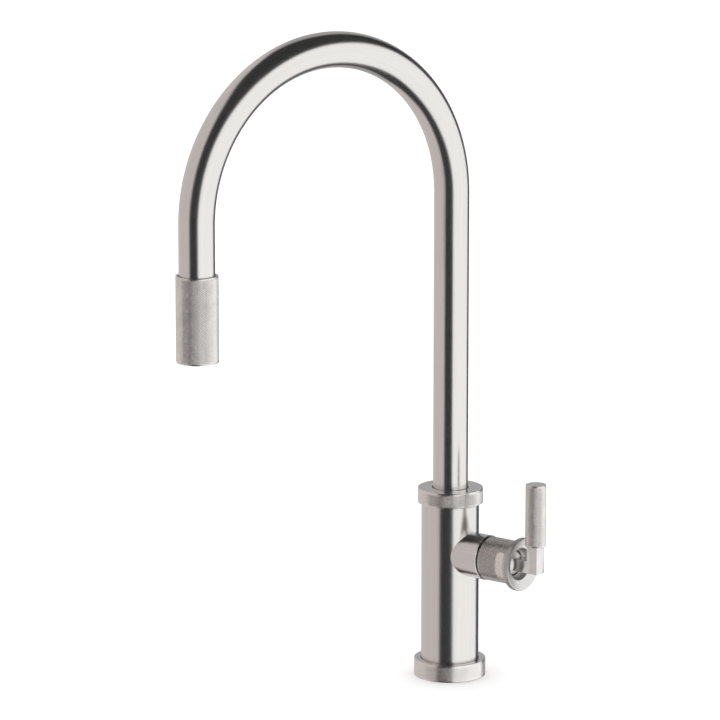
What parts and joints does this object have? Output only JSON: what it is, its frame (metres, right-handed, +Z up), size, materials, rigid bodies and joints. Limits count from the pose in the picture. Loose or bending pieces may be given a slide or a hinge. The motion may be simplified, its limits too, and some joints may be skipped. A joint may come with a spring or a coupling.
{
  "type": "pull down kitchen faucet",
  "caption": "Single hole kitchen mixer: knurled base and collar, high round arc swivel spout, docking pull down spray head on a hose, and an upright side lever.",
  "frame": {"origin": "centre of the base ring's underside, on the worktop", "axes": "+Z up along the riser, -Y is the front towards the user, +X along the valve towards the lever"},
  "size_m": [0.1664, 0.2865, 0.5913],
  "materials": {
    "brushed_steel": "vertical brushed stainless steel",
    "knurled_steel": "fine diamond knurl",
    "bright_steel": "fine satin",
    "plain_steel": "zinc plated",
    "brass": "machined",
    "copper": "drawn tube",
    "rubber": "matte",
    "white_plastic": "moulded",
    "grey_plastic": "moulded",
    "ceramic": "lapped ceramic",
    "magnet": "nickel plated",
    "hose_braid": "woven nylon braid",
    "clear_plastic": "moulded honeycomb"
  },
  "bodies": {
    "mixer": {"base_ring": "knurled_steel", "base_gasket": "rubber", "faucet_body": "brushed_steel", "valve_branch": "brushed_steel", "base_insert": "brass", "mounting_studs": "plain_steel", "deck_gasket": "rubber", "deck_clamp": "plain_steel", "stud_nuts": "brass", "supply_pipes": "copper", "outlet_pipe": "copper", "manifold": "brass", "cartridge_sleeve": "brass", "port_seals": "rubber", "cartridge_housing": "white_plastic", "fixed_disc": "ceramic", "cartridge_nut": "brass", "branch_ring": "rubber", "hub_cup": "knurled_steel", "top_collar": "knurled_steel", "lower_bush": "white_plastic", "upper_bush": "white_plastic"},
    "spout": {"spout_tube": "brushed_steel", "swivel_sleeve": "brass", "dock_insert": "grey_plastic", "dock_magnet": "magnet", "spray_hose": "hose_braid", "hose_coupling": "plain_steel"},
    "hose_end": {"hose_leg": "hose_braid", "hose_ferrule": "plain_steel"},
    "spray_head": {"head_shell": "knurled_steel", "head_waterway": "grey_plastic", "head_magnet": "magnet", "hose_nut": "brass", "hose_washer": "rubber", "check_valve": "white_plastic", "face_ring": "grey_plastic", "aerator_housing": "bright_steel", "aerator_insert": "clear_plastic", "aerator_seal": "rubber"},
    "rotor": {"cartridge_rotor": "white_plastic", "stem_pin": "plain_steel"},
    "ceramic_slide": {"moving_disc": "ceramic", "disc_carrier": "white_plastic"},
    "lever": {"lever_stem": "plain_steel", "lever_arm": "bright_steel", "stem_dome": "bright_steel", "lever_grub_screw": "plain_steel", "grip_stud": "plain_steel", "lever_grip": "knurled_steel"}
  },
  "joints": [
    {"name": "spout_swivel", "type": "hinge", "parent": "mixer", "child": "spout", "pos_m": [0, 0, 0.13], "axis": [0, 0, 1], "continuous": true},
    {"name": "head_pull", "type": "slide", "parent": "spout", "child": "hose_end", "axis": [0, 0, -1], "range_m": [0, 0.28], "deforming": ["hose_leg"]},
    {"name": "head_spin", "type": "hinge", "parent": "hose_end", "child": "spray_head", "pos_m": [-0.0557, -0.24125, 0.35], "axis": [0, 0, 1], "continuous": true},
    {"name": "lever_turn", "type": "hinge", "parent": "mixer", "child": "rotor", "pos_m": [0.058, 0, 0.103], "axis": [1, 0, 0], "range_deg": [-45, 45]},
    {"name": "lever_lift", "type": "hinge", "parent": "rotor", "child": "lever", "pos_m": [0.058, 0, 0.103], "axis": [0, 1, 0], "range_deg": [0, 25]},
    {"name": "disc_slide", "type": "slide", "parent": "rotor", "child": "ceramic_slide", "axis": [0, 0, 1], "range_m": [0, 0.0045]}
  ],
  "couplings": [
    {"joint": "disc_slide", "follows": "lever_lift", "m_per_rad": 0.0094}
  ]
}
